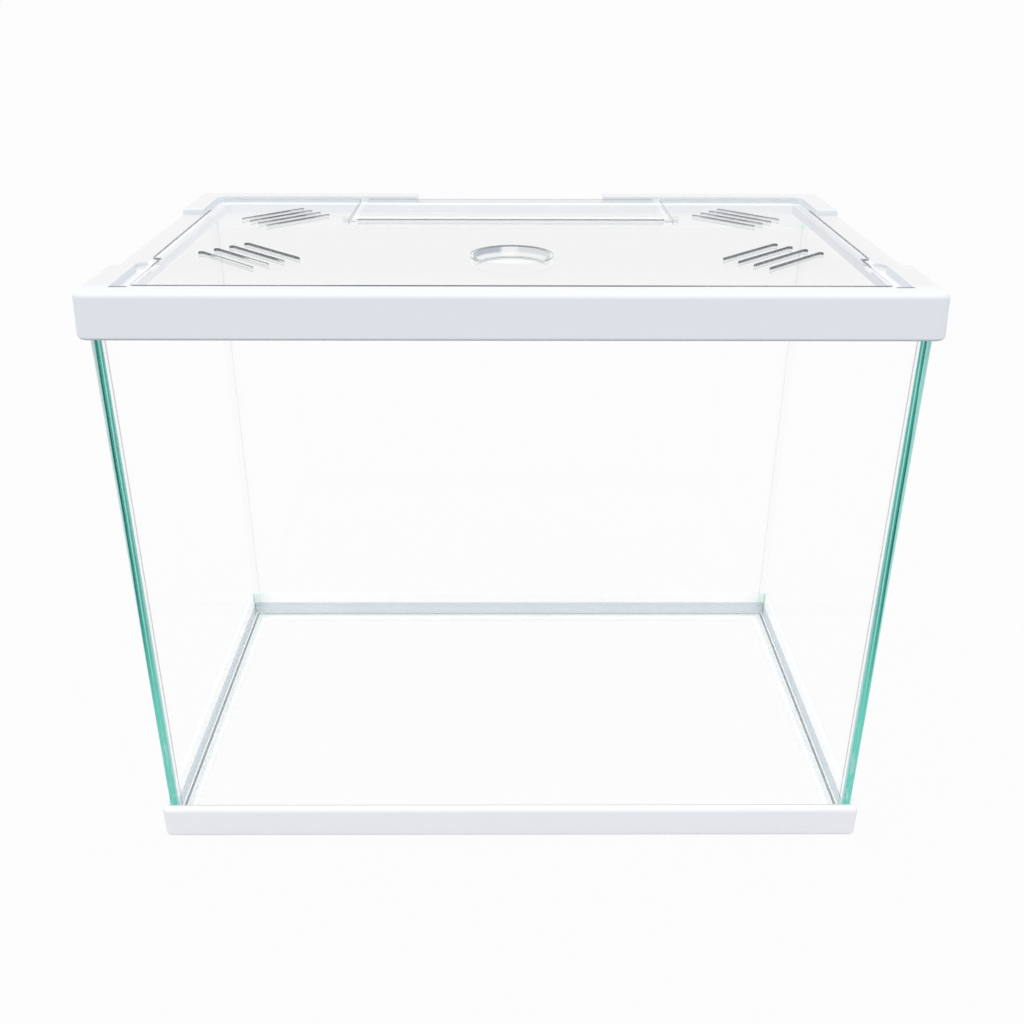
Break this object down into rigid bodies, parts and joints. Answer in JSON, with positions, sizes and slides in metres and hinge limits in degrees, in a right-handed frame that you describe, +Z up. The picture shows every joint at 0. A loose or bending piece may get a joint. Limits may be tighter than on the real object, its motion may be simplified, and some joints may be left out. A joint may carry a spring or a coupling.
{
  "type": "fish tank",
  "caption": "Small framed glass fish tank with a clear lift-off lid, a hinged rear flap, a feed hole and vent slots.",
  "frame": {"origin": "middle of the footprint, on the surface that the base frame stands on", "axes": "+X to the right along the long side, +Y from the front to the rear, +Z up"},
  "size_m": [0.4114, 0.2554, 0.3274],
  "materials": {
    "glass": "clear float glass, green at its edges",
    "silicone": "clear silicone",
    "white_plastic": "white moulded plastic, satin gloss",
    "clear_plastic": "clear moulded plastic, glossy"
  },
  "bodies": {
    "tank": {"front_glass": "glass", "rear_glass": "glass", "left_glass": "glass", "right_glass": "glass", "floor_glass": "glass", "front_left_seal": "silicone", "front_right_seal": "silicone", "rear_left_seal": "silicone", "rear_right_seal": "silicone", "front_floor_seal": "silicone", "rear_floor_seal": "silicone", "left_floor_seal": "silicone", "right_floor_seal": "silicone", "top_frame_adhesive": "silicone", "base_frame_adhesive": "silicone", "top_frame": "white_plastic", "base_frame": "white_plastic"},
    "lid": {"lid": "clear_plastic"},
    "rear_flap": {"rear_flap": "clear_plastic"}
  },
  "joints": [
    {"name": "lid_lift", "type": "slide", "parent": "tank", "child": "lid", "axis": [0, 0, 1], "range_m": [0, 0.08]},
    {"name": "flap_hinge", "type": "hinge", "parent": "lid", "child": "rear_flap", "pos_m": [0, 0.0495, 0.3249], "axis": [1, 0, 0], "range_deg": [0, 125]}
  ]
}
